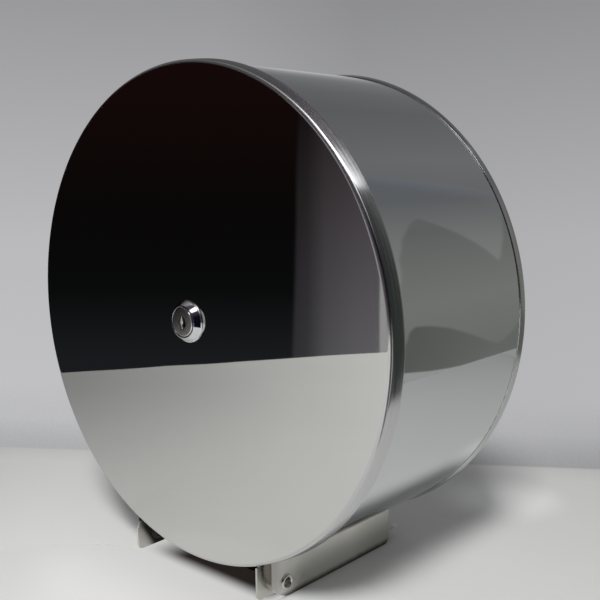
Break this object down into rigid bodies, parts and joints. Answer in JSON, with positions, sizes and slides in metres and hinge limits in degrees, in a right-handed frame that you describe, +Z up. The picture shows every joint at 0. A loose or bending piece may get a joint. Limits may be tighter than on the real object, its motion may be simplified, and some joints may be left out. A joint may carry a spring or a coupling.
{
  "type": "jumbo toilet roll dispenser",
  "caption": "Round stainless steel dispenser for one large toilet roll: a wall-fixed drum with a roll spindle, an open paper chute and a bottom-hinged locking cover.",
  "frame": {"origin": "on the drum's axis, in the plane of the wall face of the back plate", "axes": "+Y points out of the back plate into the wall, the cover faces -Y, +Z is up and +X is to the right as seen from the front"},
  "size_m": [0.26, 0.1209, 0.2702],
  "materials": {
    "polished_steel": "mirror-polished stainless steel sheet",
    "satin_steel": "satin stainless steel sheet",
    "bracket_steel": "plain rolled stainless steel sheet",
    "rivet_steel": "bright nickel-plated steel",
    "lock_chrome": "chrome-plated zinc casting",
    "lock_plug_metal": "satin dark nickel",
    "wafer_brass": "stamped brass, nickel-washed",
    "zinc_steel": "zinc-plated steel",
    "spacer_nylon": "natural nylon"
  },
  "bodies": {
    "casing": {"drum_shell": "satin_steel", "back_plate": "satin_steel", "spindle_flange": "bracket_steel", "spindle_tube": "satin_steel", "spindle_rivets": "rivet_steel", "lock_keeper": "bracket_steel", "hinge_rivet_left": "rivet_steel", "hinge_rivet_right": "rivet_steel", "hinge_washer_left": "spacer_nylon", "hinge_spacer_right": "spacer_nylon"},
    "cover": {"front_cover": "polished_steel", "hinge_bracket": "bracket_steel", "lock_barrel": "lock_chrome", "lock_washer": "zinc_steel", "lock_nut": "zinc_steel"},
    "lock": {"lock_plug": "lock_plug_metal", "lock_wafers": "wafer_brass", "lock_cam": "zinc_steel", "cam_washer": "zinc_steel", "cam_screw": "zinc_steel"}
  },
  "joints": [
    {"name": "cover_hinge", "type": "hinge", "parent": "casing", "child": "cover", "pos_m": [0, -0.1005, -0.1322], "axis": [1, 0, 0], "range_deg": [0, 90]},
    {"name": "lock_turn", "type": "hinge", "parent": "cover", "child": "lock", "pos_m": [0, -0.12, 0], "axis": [0, 1, 0], "range_deg": [0, 90]}
  ]
}
